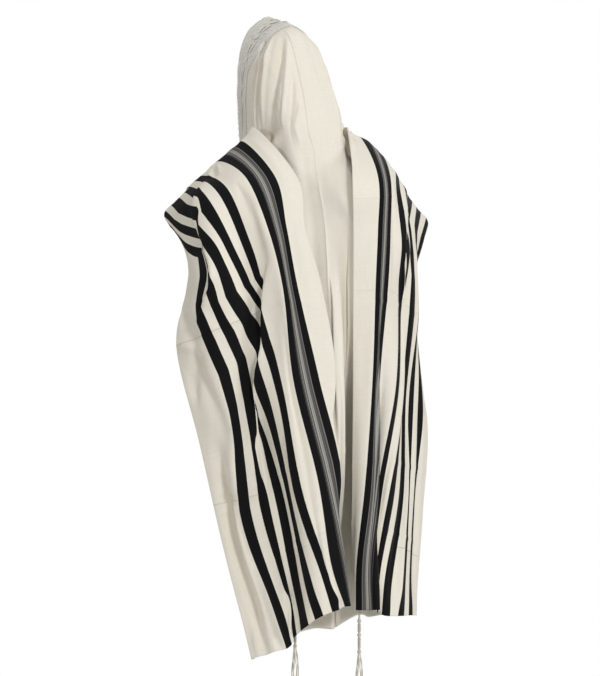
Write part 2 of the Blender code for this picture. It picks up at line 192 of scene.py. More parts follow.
# Folds of the left end, the right end and both laps: distance from the woven end and station where
# each starts, the same where it stops, height in millimetres (a trough is negative), half width in
# metres, and how sharply it drops: 1 is a soft fold, less laps over its neighbour nearer the woven
# end, and below 0 over its far neighbour
LEFT_FOLDS = (
    (0.222, 3.42, 0.328, 4.85, 12.0, 0.036, -0.15),
    (0.266, 3.6, 0.366, 4.75, -6.0, 0.026, 1.0),
    (0.326, 4.8, 0.336, 5.35, 8.0, 0.022, -0.2),
    (0.332, 5.15, 0.4, 5.86, 9.0, 0.02, -0.2),
    (0.395, 5.45, 0.33, 6.1, -4.0, 0.016, 1.0),
    (0.17, 4.2, 0.176, 5.6, -7.0, 0.018, 1.0),
    (0.15, 4.6, 0.16, 6.0, 3.0, 0.014, 1.0),
    (0.172, 5.62, 0.336, 7.34, 14.0, 0.032, -0.15),
    (0.226, 5.8, 0.374, 7.25, -9.0, 0.024, 1.0),
    (0.334, 7.1, 0.35, 8.6, 9.0, 0.024, -0.18),
    (0.346, 8.3, 0.38, 10.1, 9.0, 0.022, -0.18),
    (0.372, 7.2, 0.388, 9.2, -5.0, 0.014, 1.0),
    (0.15, 6.4, 0.19, 9.4, -7.0, 0.02, 1.0),
    (0.215, 7.4, 0.24, 9.9, 5.0, 0.018, 1.0),
    (0.15, 8.6, 0.215, 10.2, 5.0, 0.012, 0.6),
    (0.285, 7.6, 0.3, 9.9, -5.0, 0.016, 1.0),
    (0.42, 6.06, 0.412, 7.3, -15.0, 0.012, 1.0),
    (0.428, 7.1, 0.438, 9.3, -22.0, 0.014, 1.0),
    (0.412, 6.2, 0.402, 8.3, 6.0, 0.012, 1.0),
    (0.412, 7.75, 0.422, 10.3, 15.0, 0.013, 0.45),
    (0.4, 8.4, 0.406, 10.3, -8.0, 0.008, 1.0),
    (0.447, 8.5, 0.448, 10.3, 6.0, 0.007, 1.0),
    (0.436, 8.8, 0.438, 10.3, -6.0, 0.007, 1.0),
    (0.458, 5.4, 0.41, 6.05, -13.0, 0.013, 1.0),
    (0.458, 6.02, 0.42, 6.05, 8.0, 0.008, 0.5),
    (0.452, 6.62, 0.415, 6.14, -11.0, 0.012, 1.0),
    (0.452, 7.58, 0.4, 7.66, -5.0, 0.007, 0.6),
    (0.165, 3.06, 0.19, 3.5, -4.0, 0.006, 1.0),
    (0.182, 3.1, 0.2, 3.45, 3.5, 0.005, 1.0),
    (0.15, 3.1, 0.176, 3.55, 3.0, 0.005, 1.0),
    (0.168, 4.05, 0.178, 4.75, -4.0, 0.007, 1.0),
    (0.098, 3.6, 0.103, 7.6, -3.0, 0.012, 1.0),
    (0.03, 4.6, 0.02, 8.2, 2.0, 0.016, 1.0),
    (0.04, 3.1, 0.028, 4.4, 2.0, 0.012, 1.0),
)
RIGHT_FOLDS = (
    (0.15, 3.3, 0.165, 5.6, -4.0, 0.014, 1.0),
    (0.245, 3.3, 0.212, 5.6, 10.0, 0.028, -0.18),
    (0.214, 5.2, 0.235, 8.3, 8.0, 0.024, 0.2),
    (0.275, 3.8, 0.262, 7.2, -6.0, 0.018, 1.0),
    (0.085, 6.6, 0.13, 10.2, 9.0, 0.02, 0.2),
    (0.15, 7.0, 0.165, 10.0, -7.0, 0.014, 1.0),
    (0.33, 4.4, 0.335, 6.6, 5.0, 0.016, 0.6),
    (0.322, 7.0, 0.336, 10.1, 8.0, 0.015, 0.3),
    (0.3, 7.0, 0.312, 9.9, -5.0, 0.012, 1.0),
    (0.4, 4.2, 0.43, 6.6, 5.0, 0.018, 1.0),
    (0.38, 6.8, 0.43, 9.4, -6.5, 0.016, 1.0),
    (0.045, 3.6, 0.05, 6.4, -1.6, 0.018, 1.0),
    (0.004, 2.7, 0.007, 3.6, 5.0, 0.005, 1.0),
    (0.02, 2.8, 0.026, 3.5, 4.0, 0.005, 1.0),
)
LAP_FOLDS = (
    (0.06, 0.2, 0.09, 2.4, -4.0, 0.018, 1.0),
    (0.12, 0.0, 0.135, 2.6, 5.0, 0.018, 0.6),
    (0.18, 0.4, 0.175, 2.7, -5.0, 0.016, 1.0),
)
END_FOLDS = {"left": LEFT_FOLDS + LAP_FOLDS, "right": RIGHT_FOLDS + LAP_FOLDS}

# Lapping folds where an end doubles back on itself, so that its stripes jump, at the left shoulder,
# the left elbow and the right shoulder: station, distance from the woven end, and the metres of
# cloth hidden beyond it and before it
HIDDEN_CLOTH = {
    "left": ((
        (3.6, 0.232, 0.0, 0.0),
        (3.9, 0.248, 0.012, 0.0),
        (4.16, 0.262, 0.028, 0.0),
        (4.54, 0.304, 0.05, 0.0),
        (4.74, 0.328, 0.06, 0.0),
        (5.1, 0.34, 0.04, 0.0),
        (5.5, 0.366, 0.0, 0.0),
    ), (
        (5.66, 0.176, 0.0, 0.0),
        (6.12, 0.222, 0.034, 0.016),
        (6.46, 0.254, 0.048, 0.024),
        (6.84, 0.296, 0.036, 0.018),
        (7.3, 0.34, 0.012, 0.008),
        (7.8, 0.344, 0.0, 0.0),
    )),
    "right": ((
        (3.0, 0.23, 0.0, 0.0),
        (3.6, 0.236, 0.014, 0.0),
        (4.2, 0.238, 0.034, 0.0),
        (4.7, 0.226, 0.024, 0.0),
        (5.4, 0.222, 0.0, 0.0),
    ),),
}

# Ironed creases right across an end: station at the woven end, how far it drifts over the whole
# width, height in millimetres and half width in stations
IRONED = (
    (6.2, -0.23, 1.6, 0.035),
    (7.86, -0.3, 1.3, 0.035),
    (8.52, -0.1, 1.4, 0.03),
    (4.35, 0.1, 0.8, 0.03),
    (1.3, 0.05, 1.0, 0.03),
)

# Fine lines of those creases that show best, each with a painted shade along one side: side, station at the
# woven end, how far it drifts over a metre, distances from the woven end between which it shows, and height
# in millimetres, which also sets how dark that painted shade is
CREASE_LINES = (
    ("left", 6.2, -0.5, 0.2, 0.47, 1.5),
    ("left", 8.06, -0.92, 0.355, 0.47, 1.1),
    ("left", 8.6, -0.1, 0.12, 0.33, 0.5),
    ("right", 8.62, -0.05, 0.29, 0.44, 1.2),
    ("right", 6.02, -0.1, 0.0, 0.46, 0.6),
    ("right", 4.4, 0.1, 0.0, 0.14, 0.4),
)

# Folds of the hood, with the gathers at the right collar last: turn (0 at the left foot, 1 at the
# right) and arch where each starts and stops, height in millimetres, half width in turns, and its
# sharpness as on the ends
HOOD_FOLDS = (
    (0.312, 1.95, 0.06, 2.0, -15.0, 0.013, 1.0),
    (0.296, 2.2, 0.01, 2.32, 7.0, 0.006, 0.6),
    (0.286, 2.42, 0.008, 2.52, -6.0, 0.006, 1.0),
    (0.276, 2.66, 0.01, 2.86, 6.0, 0.009, 0.5),
    (0.322, 2.2, 0.04, 2.95, -7.0, 0.008, 1.0),
    (0.352, 2.35, 0.02, 3.4, 9.0, 0.011, 0.5),
    (0.392, 2.9, 0.04, 4.6, -14.0, 0.03, 1.0),
    (0.405, 3.2, 0.16, 5.8, 5.0, 0.02, 0.8),
    (0.385, 4.3, 0.25, 6.1, -5.0, 0.016, 1.0),
    (0.4, 5.0, 0.32, 6.2, 4.0, 0.014, 1.0),
    (0.56, 2.6, 0.59, 6.0, -3.0, 0.03, 1.0),
    (0.64, 2.6, 0.69, 6.0, 4.0, 0.026, 1.0),
    (0.7, 2.4, 0.79, 6.0, -5.0, 0.022, 1.0),
    (0.735, 2.4, 0.88, 5.4, 5.5, 0.016, 0.6),
    (0.765, 2.3, 0.96, 4.3, -9.0, 0.02, 1.0),
    (0.735, 2.15, 0.985, 3.0, 5.5, 0.013, 0.5),
    (0.69, 1.95, 0.97, 2.2, -9.0, 0.018, 1.0),
    (0.868, 5.2, 0.915, 6.3, 8.0, 0.008, 1.0),
    (0.905, 5.1, 0.96, 6.3, 7.0, 0.007, 1.0),
    (0.888, 5.1, 0.938, 6.2, -4.0, 0.005, 1.0),
)

# The lace neckband: its length and depth in metres, its sprigs with their pitch and leaves, the beads
# of its edges, and how far it reaches back from the face, in arches, at each turn
LACE_LENGTH = 0.62
LACE_DEPTH = 0.10
SPRIGS = 8
SPRIG_PITCH = 0.0775
LEAF_LENGTHS = (0.027, 0.025, 0.021, 0.016)
EDGE_BEADS = 92
LACE_REACH = (
    (0.0, 1.3), (0.083, 1.2), (0.175, 1.15), (0.217, 1.45), (0.267, 1.8), (0.308, 2.02), (0.35, 2.18),
    (0.42, 2.36), (0.5, 2.4), (0.58, 2.38), (0.65, 2.2), (0.75, 1.85), (0.85, 1.55), (1.0, 1.5),
)

# The crease down the middle of the cloth: height in millimetres and half width in metres
CENTRE_CREASE = 2.6
CENTRE_HALF = 0.0026

# Folds of the inner cloth, as on the ends, but by distance from the left front fold and with the
# stations counted from the ridge
INNER_FOLDS = (
    (0.433, 2.9, 0.445, 4.6, 8.0, 0.022, 0.12),
    (0.442, 4.2, 0.508, 7.4, 11.0, 0.024, 0.12),
    (0.465, 3.2, 0.52, 7.2, -8.0, 0.014, 1.0),
    (0.508, 0.95, 0.515, 4.1, 38.0, 0.046, 1.0),
    (0.415, 0.3, 0.405, 3.4, -3.0, 0.014, 1.0),
    (0.462, 0.4, 0.466, 3.4, 2.0, 0.014, 1.0),
    (0.395, 2.5, 0.43, 6.8, 4.0, 0.014, 1.0),
    (0.375, 3.5, 0.4, 7.2, -4.0, 0.013, 1.0),
    (0.5, 0.8, 0.505, 4.0, -5.5, 0.013, 1.0),
    (0.2, 1.0, 0.22, 6.6, -5.0, 0.026, 1.0),
    (0.35, 0.6, 0.345, 3.6, 5.0, 0.018, 1.0),
    (0.26, 0.6, 0.27, 6.0, 4.0, 0.022, 1.0),
    (0.12, 1.4, 0.1, 6.4, -4.0, 0.024, 1.0),
    (0.62, 0.8, 0.6, 6.0, 4.5, 0.024, 1.0),
    (0.7, 1.2, 0.69, 6.8, -5.0, 0.026, 1.0),
    (0.79, 1.6, 0.78, 6.2, 4.0, 0.022, 1.0),
)

# Stations of the ridge and the hem, how far the layer under an end reaches and rises there, the
# skirt at the hood's two feet, and how much cloth there is round the hood and from arch to arch
FIRST = len(FRONT_LAPS)
LAST = FIRST + len(LEFT_SECTIONS) - 1
INNER_REACH = 0.33
WRAP_TUCK = 0.0015
SKIRT = 0.030
SKIRT_ROWS = 6
GIRTH = 0.62
ARCH_STEP = 0.055

# Seeds of the low waves in each cloth, and rows and columns of the grids
WAVE_SEEDS = {"left": 11, "right": 23, "inner": 37, "hood": 5}
END_ROWS, END_COLUMNS, LAP_ROWS, UNDER_COLUMNS = 190, 165, 60, 34
HOOD_ROWS, BACK_ROWS, FLANK_COLUMNS = 106, 148, 45
LACE_COLUMNS, LACE_ROWS = 260, 36

# Pitch of the weave and of the net, and how soft the edge of a stripe is
WEAVE = 0.0011
NET = 0.0024
CRISP = 0.0004


def smooth_rows(net, knots, samples):
    """Cubic curve through the rows of a net, with tangents that fit uneven spacing."""
    net = np.asarray(net, float)
    knots = np.asarray(knots, float)
    step = np.diff(knots)
    slope = np.diff(net, axis=0) / step.reshape(-1, *([1] * (net.ndim - 1)))
    tangent = np.empty_like(net)
    tangent[0] = slope[0]
    tangent[-1] = slope[-1]
    for i in range(1, len(knots) - 1):
        share = step[i] / (step[i - 1] + step[i])
        tangent[i] = share * slope[i - 1] + (1.0 - share) * slope[i]
    rows = []
    for value in samples:
        i = int(np.clip(np.searchsorted(knots, value) - 1, 0, len(step) - 1))
        t = (value - knots[i]) / step[i]
        rows.append((2 * t**3 - 3 * t**2 + 1) * net[i] + (t**3 - 2 * t**2 + t) * step[i] * tangent[i]
                    + (3 * t**2 - 2 * t**3) * net[i + 1] + (t**3 - t**2) * step[i] * tangent[i + 1])
    return np.array(rows)


def end_net(sections, side):
    rows = []
    for height, slope, level, plan in sections:
        sink = slope * np.maximum(0.0, np.array(GUIDES) - level)
        rows.append([(x * MM, y * MM, height - s) for (x, y), s in zip(plan, sink)])
    ridge = np.array(rows[0])
    share = np.array(LAP_SHARES)[:, None] ** (1.0, LAP_BULGE, 1.0)
    laps = [ridge + share * np.array((-side * inward, -forward, -down))
            for forward, down, inward in FRONT_LAPS]
    return np.array(laps + rows)


def end_surface(sections, side, distances, stations):
    """Points on an end, by distance from its woven end and by station from the lap to the hem."""
    net = end_net(sections, side)
    across = smooth_rows(net.transpose(1, 0, 2), GUIDES, distances)
    return smooth_rows(across.transpose(1, 0, 2), range(len(net)), stations)


def under_net(rows, sections, side):
    first = len(FRONT_LAPS)
    fold = end_surface(sections, side, (END_WIDTH,), range(first, first + len(rows)))[:, 0]
    net = []
    for (height, plan), front in zip(rows, fold):
        inner = front + np.array((-side * FOLD_GAP, 0.0, 0.0))
        net.append([(x * MM, y * MM, height + share * (inner[2] - height))
                    for (x, y), share in zip(plan, UNDER_SHARES)] + [tuple(inner)])
    return np.array(net)


def hood_surface(turns, stations):
    """Points on the hood: arches from the left foot over the head to the right foot."""
    arches = smooth_rows(HOOD_ARCHES, range(len(HOOD_ARCHES)), stations)
    rows = []
    for top_y, top_z, half, foot_y, foot_z, half_foot, fullness, lean, gable in arches:
        row = []
        for turn in turns:
            angle = math.pi * (0.5 - turn)
            rise = abs(math.cos(angle)) ** ARCH_RISE
            wide = math.copysign(abs(math.sin(angle)) ** fullness, angle)
            width = half_foot + (half - half_foot) * rise
            high = foot_z + (top_z - foot_z) * rise - gable * abs(wide) * rise
            row.append((lean + width * wide, foot_y + (top_y - foot_y) * rise, high))
        rows.append(row)
    return np.array(rows)


def inner_surface(places, stations):
    """Points on the inner cloth, from the left front fold round the back to the right one."""
    left = under_net(LEFT_UNDER, LEFT_SECTIONS, 1)
    right = under_net(RIGHT_UNDER, RIGHT_SECTIONS, -1)
    nape = hood_surface((0.25, 0.5, 0.75), (len(HOOD_ARCHES) - 1,))[0]
    middle = [nape - (0.0, 0.0, COLLAR_GAP)]
    for height, plan in BACK_SECTIONS:
        middle.append(np.array([(x * MM, y * MM, height) for x, y in plan]))
    net = np.concatenate((left[:, ::-1], np.array(middle), right), axis=1)
    across = smooth_rows(net.transpose(1, 0, 2), INNER_PLACES, places)
    return smooth_rows(across.transpose(1, 0, 2), range(len(net)), stations)


def normals(points):
    """Unit normals of a grid whose rows run down and whose columns run from left to right."""
    normal = np.cross(np.gradient(points, axis=0), np.gradient(points, axis=1))
    return normal / np.linalg.norm(normal, axis=2, keepdims=True)


def soft_step(value, low, high):
    share = np.clip((value - low) / (high - low), 0.0, 1.0)
    return share * share * (3.0 - 2.0 * share)


def folds(across, down, table, stride):
    """Heights of soft folds over a grid; stride is how many metres one station is long."""
    height = np.zeros(np.broadcast(across, down).shape)
    for a0, d0, a1, d1, tall, half, sharp in table:
        run_a, run_d = a1 - a0, (d1 - d0) * stride
        length = math.hypot(run_a, run_d)
        da, dd = across - a0, (down - d0) * stride
        along = (da * run_a + dd * run_d) / length
        off = (dd * run_a - da * run_d) / length
        share = along / length
        bend = 0.25 * half * np.sin(5.0 * share + 40.0 * a0)
        grow = half * (0.7 + 0.6 * np.clip(share, 0.0, 1.0))
        taper = soft_step(share, -0.12, 0.22) * (1.0 - soft_step(share, 0.72, 1.12))
        off = (off - bend) / grow
        steep = off > 0.0 if sharp > 0.0 else off < 0.0
        off = np.where(steep, off / abs(sharp), off)
        height += tall * MM * taper * np.exp(-off ** 2)
    return height


def ripples(across, down, seed, tall):
    """Low uneven waves of worn cloth, mostly running down its length."""
    draw = np.random.default_rng(seed)
    height = np.zeros(np.broadcast(across, down).shape)
    for count in range(9):
        wide = draw.uniform(9.0, 30.0)
        long = draw.uniform(-0.55, 0.55)
        turn = draw.uniform(0.0, math.tau, 3)
        patch = 0.5 + 0.5 * np.sin(1.3 * down + 9.0 * across + turn[1])
        height += patch * np.sin(math.tau * (wide * across + long * down) + turn[0]) / wide
    return height * tall * MM * 9.0


def ironed(across, down, width):
    """Sharp low ridges that the folded shawl keeps from its box."""
    height = np.zeros(np.broadcast(across, down).shape)
    for station, drift, tall, half in IRONED:
        off = np.abs(down - station - drift * across / width) / half
        height += tall * MM * np.exp(-off * 1.2) * (0.75 + 0.25 * np.sin(17.0 * across + station))
    return height


def grid_part(form, points, across, along):
    """A grid laid on the points, with the cloth's own measures as its UV map."""
    rows, columns = points.shape[:2]
    layer = form.loops.layers.uv.get("cloth") or form.loops.layers.uv.new("cloth")
    made = bmesh.ops.create_grid(form, x_segments=columns - 1, y_segments=rows - 1, size=0.5)["verts"]
    flat = points.reshape(-1, 3)
    measure = np.stack(np.broadcast_arrays(across, along), axis=-1).reshape(-1, 2)
    for vertex, co, uv in zip(made, flat, measure):
        vertex.co = co
        for loop in vertex.link_loops:
            loop[layer].uv = uv


def stand(name, data):
    """A new object in the scene."""
    made = bpy.data.objects.new(name, data)
    SCENE.collection.objects.link(made)
    return made


def meshed(name, form, finish):
    """The finished bmesh as an object with its material."""
    mesh = bpy.data.meshes.new(name)
    form.to_mesh(mesh)
    form.free()
    mesh.materials.append(finish)
    return stand(name, mesh)


def cloth_piece(name, form, finish, wall=CLOTH):
    """A soft piece: a sheet that gets a wall, or thread that has its own."""
    piece = meshed(name, form, finish)
    piece.data.shade_smooth()
    if wall:
        thicken = piece.modifiers.new("Wall", "SOLIDIFY")
        thicken.thickness = wall
        thicken.offset = 0.0
    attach(piece, "root")
    return piece


def operator(operation, reflected=False):
    """One operator of Value, as a Math node."""
    def worked(self, other):
        return self.math(operation, *((other, self) if reflected else (self, other)))
    return worked


class Value:
    """A number that changes over a surface, so that sums of sockets read as sums."""

    def __init__(self, finish, socket):
        self.finish = finish
        self.socket = socket

    def math(self, operation, *others, clamp=False):
        node = self.finish.node("ShaderNodeMath", {"operation": operation, "use_clamp": clamp},
                                {place: value for place, value in enumerate(others)})
        return Value(self.finish, node.outputs[0])

    __add__ = __radd__ = operator("ADD")
    __sub__, __rsub__ = operator("SUBTRACT"), operator("SUBTRACT", reflected=True)
    __mul__ = __rmul__ = operator("MULTIPLY")
    __truediv__, __rtruediv__ = operator("DIVIDE"), operator("DIVIDE", reflected=True)

    def sine(self):
        return self.math("SINE", self)

    def size(self):
        return self.math("ABSOLUTE", self)

    def clamped(self):
        return self.math("ADD", self, 0.0, clamp=True)

    def above(self, edge, soft):
        """1 past the edge and 0 before it."""
        return ((self - edge) / soft + 0.5).clamped()

    def between(self, low, high, soft):
        return self.above(low, soft) * (1.0 - self.above(high, soft))


class Finish:
    """A material and its nodes."""

    def __init__(self, name, **constants):
        self.material = bpy.data.materials.new(name)
        self.material.use_nodes = True
        self.tree = self.material.node_tree
        self.shader = self.tree.nodes["Principled BSDF"]
        for socket, value in constants.items():
            self.shader.inputs[socket.replace("_", " ")].default_value = value

    def node(self, kind, settings=None, inputs=None):
        made = self.tree.nodes.new(kind)
        for setting, value in (settings or {}).items():
            if setting == "stops":
                ramp = made.color_ramp
                while len(ramp.elements) > 1:
                    ramp.elements.remove(ramp.elements[-1])
                for count, (place, colour) in enumerate(value):
                    stop = ramp.elements[0] if count == 0 else ramp.elements.new(place)
                    stop.position = place
                    stop.color = (*colour, 1.0)
            else:
                setattr(made.color_ramp if setting == "interpolation" else made, setting, value)
        for socket, value in (inputs or {}).items():
            self.feed(made.inputs[socket], value)
        return made

    def feed(self, socket, value):
        if isinstance(value, Value):
            value = value.socket
        if isinstance(value, bpy.types.NodeSocket):
            self.tree.links.new(value, socket)
        else:
            socket.default_value = value

    def give(self, socket, value):
        self.feed(self.shader.inputs[socket], value)

    def measure(self):
        """The cloth's own measures: metres across from the woven end and metres along."""
        spread = self.node("ShaderNodeUVMap", {"uv_map": "cloth"})
        parts = self.node("ShaderNodeSeparateXYZ", {}, {0: spread.outputs["UV"]})
        return Value(self, parts.outputs[0]), Value(self, parts.outputs[1])

    def noise(self, vector, scale, detail=2.0, roughness=0.5):
        node = self.node("ShaderNodeTexNoise", {}, {"Vector": vector, "Scale": scale, "Detail": detail,
                                                    "Roughness": roughness})
        return Value(self, node.outputs["Fac"])

    def point(self, x, y, z=0.0):
        return self.node("ShaderNodeCombineXYZ", {}, {0: x, 1: y, 2: z}).outputs[0]

    def object_place(self):
        return self.node("ShaderNodeTexCoord").outputs["Object"]

    def mix(self, share, first, second, blend="MIX"):
        """Mixes two colours."""
        return self.node("ShaderNodeMix", {"data_type": "RGBA", "blend_type": blend},
                         {0: share, 6: first, 7: second}).outputs[2]

    def bump(self, height, strength, distance, under=None):
        """Relief in the normal, on top of the relief that lies under it."""
        made = self.node("ShaderNodeBump", {}, {"Height": height, "Strength": strength, "Distance": distance})
        if under:
            self.feed(made.inputs["Normal"], under)
        return made.outputs[0]


CREAM = (0.87, 0.835, 0.745, 1.0)
SHADOW_CREAM = (0.80, 0.76, 0.66, 1.0)
BLACK = (0.0042, 0.0042, 0.0052, 1.0)
WHITE = (0.93, 0.925, 0.90, 1.0)


def wool_finish(name, side_name=None):
    """Fine cream wool in a plain weave; an end also has its black stripes and ironed creases, with painted
    shade beside the crease lines.
    """
    finish = Finish(name, Roughness=0.86, Sheen_Weight=0.03, Sheen_Roughness=0.5, Specular_IOR_Level=0.12)
    across, along = finish.measure()
    place = finish.object_place()
    slub_down = finish.noise(finish.point(across * 900.0, along * 28.0), 1.0, 3.0, 0.6)
    slub_across = finish.noise(finish.point(across * 28.0, along * 900.0), 1.0, 3.0, 0.6)
    cloud = finish.noise(place, 9.0, 3.0, 0.55)
    cream = finish.mix(0.35 * cloud + 0.05, CREAM, SHADOW_CREAM)
    tone = (slub_down + slub_across) * 0.16 + 0.84
    thread = finish.node("ShaderNodeCombineColor", {}, {0: tone, 1: tone, 2: tone}).outputs[0]
    colour = finish.mix(1.0, cream, thread, "MULTIPLY")
    warp = (across * (math.tau / WEAVE)).sine()
    weft = (along * (math.tau / WEAVE)).sine()
    height = warp * weft * 0.5 + slub_down * 0.9 + slub_across * 0.9
    surface = finish.bump(height, 0.22, 0.0006)
    if side_name:
        fray = finish.noise(finish.point(across * 60.0, along * 1400.0), 1.0, 2.0, 0.5)
        yarn = across + (fray - 0.5) * 0.0007
        stripe = None
        for low, high in BLACK_STRIPES:
            part = yarn.between(low, high, CRISP)
            stripe = part if stripe is None else stripe + part
        low, high = BAND_LINES[0][0], BLACK_STRIPES[1][0]
        stops = [((start - low) / (high - low), (grey * 1.02, grey, grey * 0.94))
                 for start, grey in BAND_LINES]
        lines = finish.node("ShaderNodeValToRGB", {"stops": stops, "interpolation": "CONSTANT"},
                            {0: (yarn - low) / (high - low)})
        tick = finish.noise(finish.point(across * 300.0, along * 420.0), 1.0, 2.0, 0.6)
        twisted = finish.mix((tick * 1.6 - 0.5).clamped() * 0.5, lines.outputs[0], (0.10, 0.10, 0.095, 1.0))
        colour = finish.mix(yarn.between(low, high, CRISP), colour, twisted)
        fleck = finish.noise(finish.point(across * 1500.0, along * 1500.0), 1.0, 1.0, 0.5)
        dark = finish.mix((fleck * 1.5 - 0.5).clamped(), BLACK, (0.011, 0.011, 0.013, 1.0))
        colour = finish.mix(stripe.clamped(), colour, dark)
        ironed_line = None
        for side, station, drift, low, high, tall in CREASE_LINES:
            if side == side_name:
                off = along - ((station - FIRST) * STATION) - across * (drift * STATION)
                tent = (1.0 - off.size() / 0.0055).clamped() * across.between(low, high, 0.03) * tall
                # Painted shade: a thin dark band just beside each crease line, on one side of it, darker for
                # a higher crease
                crease_shade_share = (1.0 - (off + 0.0012).size() / 0.0018).clamped() * across.between(low, high, 0.03)
                crease_shade_colour = finish.mix(1.0, colour, (0.35, 0.33, 0.29, 1.0), "MULTIPLY")
                colour = finish.mix(crease_shade_share * (0.30 * min(tall, 1.3)), colour, crease_shade_colour)
                ironed_line = tent if ironed_line is None else ironed_line + tent
        surface = finish.bump(ironed_line, 1.0, 0.001, surface)
    finish.give("Base Color", colour)
    finish.give("Roughness", 0.80 + 0.12 * cloud)
    finish.give("Normal", surface)
    return finish.material


def lace_finish():
    """White net of fine meshes between two corded edges; its holes are painted with the shade of the wool
    lying under the net.
    """
    finish = Finish("white lace net", Roughness=0.8, Sheen_Weight=0.05, Specular_IOR_Level=0.2)
    across, along = finish.measure()
    first = ((across + along * 0.62) * (math.pi / NET)).sine().size()
    second = ((across - along * 0.62) * (math.pi / NET)).sine().size()
    net = first.math("MINIMUM", first, second)
    threads = 1.0 - net.above(0.30, 0.16)
    worked = finish.noise(finish.point(across * 60.0, along * 60.0), 1.0, 2.0, 0.5)
    threads = (threads + worked.above(0.60, 0.06) * 0.45).clamped()
    edges = (along.between(0.0006, 0.0022, 0.0006) + along.between(0.0085, 0.0105, 0.0008)
             + along.between(LACE_DEPTH - 0.0108, LACE_DEPTH - 0.0088, 0.0008)
             + along.between(LACE_DEPTH - 0.0020, LACE_DEPTH - 0.0004, 0.0006)).clamped()
    cover = (threads + edges).clamped()
    cloud = finish.noise(finish.object_place(), 30.0, 3.0, 0.6)
    white = finish.mix(cloud * 0.4, WHITE, (0.80, 0.79, 0.75, 1.0))
    # Painted shade: the net's holes get a darker grey-beige, as shaded wool seen through them
    hole_shade_colour = finish.mix(cloud, (0.76, 0.74, 0.67, 1.0), (0.87, 0.85, 0.79, 1.0))
    finish.give("Base Color", finish.mix(cover, hole_shade_colour, white))
    finish.give("Normal", finish.bump(cover, 0.6, 0.0005))
    return finish.material


def plain_finish(name, light, dark, scale):
    """Matt thread: twisted yarn with fine cross bumps."""
    finish = Finish(name, Roughness=0.8, Sheen_Weight=0.12, Specular_IOR_Level=0.25)
    place = finish.object_place()
    cloud = finish.noise(place, scale, 4.0, 0.6)
    fuzz = finish.noise(place, scale * 14.0, 2.0, 0.6)
    finish.give("Base Color", finish.mix((cloud * 1.8 - 0.4).clamped(), light, dark))
    finish.give("Normal", finish.bump(fuzz, 0.35, 0.0005))
    return finish.material


def end_heights(side_name, across, down):
    height = folds(across, down, END_FOLDS[side_name], STATION)
    height += ripples(across, down, WAVE_SEEDS[side_name], 0.65) + ironed(across, down, END_WIDTH)
    return height * (1.0 - 0.70 * soft_step(across, END_WIDTH - 0.015, END_WIDTH))


def woven_measure(side_name, across, down):
    """The cloth's own distance from its woven end, with what each lapping fold hides taken up again
    between the band and the front fold."""
    band = 0.14
    measure = across
    for table in HIDDEN_CLOTH[side_name]:
        stations, *columns = np.array(table).T
        fold, beyond, before = (np.interp(down, stations, column) for column in columns)
        past = soft_step(across, fold - 0.003, fold + 0.006)
        rest_beyond = np.clip((END_WIDTH - across) / (END_WIDTH - fold), 0.0, 1.0)
        rest_before = np.clip((across - band) / (fold - band + 1e-6), 0.0, 1.0)
        measure = measure + past * beyond * rest_beyond - (1.0 - past) * before * rest_before
    return measure


def inner_heights(places, down):
    height = (folds(places, down, INNER_FOLDS, STATION)
              + ripples(places, down, WAVE_SEEDS["inner"], 0.5))
    height += ironed(places, down + FIRST, INNER_PLACES[-1])
    edge = soft_step(places, 0.0, 0.06) * (1.0 - soft_step(places, 0.83, 0.89))
    return height * edge * soft_step(down, 0.0, 0.5)


def collar_sink(across, down):
    """How far the right end's upper corner is drawn in and down where it is gathered at the collar."""
    near = (1.0 - soft_step(across, 0.0, 0.085)) * soft_step(down, 1.4, 2.8)
    return (near * (1.0 - soft_step(down, 3.0, 3.9)))[..., None] * (-0.013, 0.0, 0.020)


def end_cloth(side_name, side, sections, across, down):
    """The outer cloth of an end or its lap, with its folds and the gather at the collar."""
    points = end_surface(sections, side, across[0], down[:, 0])
    facing = normals(points) * -side
    points = points + facing * (HALF_WALL + end_heights(side_name, across, down)[..., None])
    return points - collar_sink(across, down) if side < 0 else points


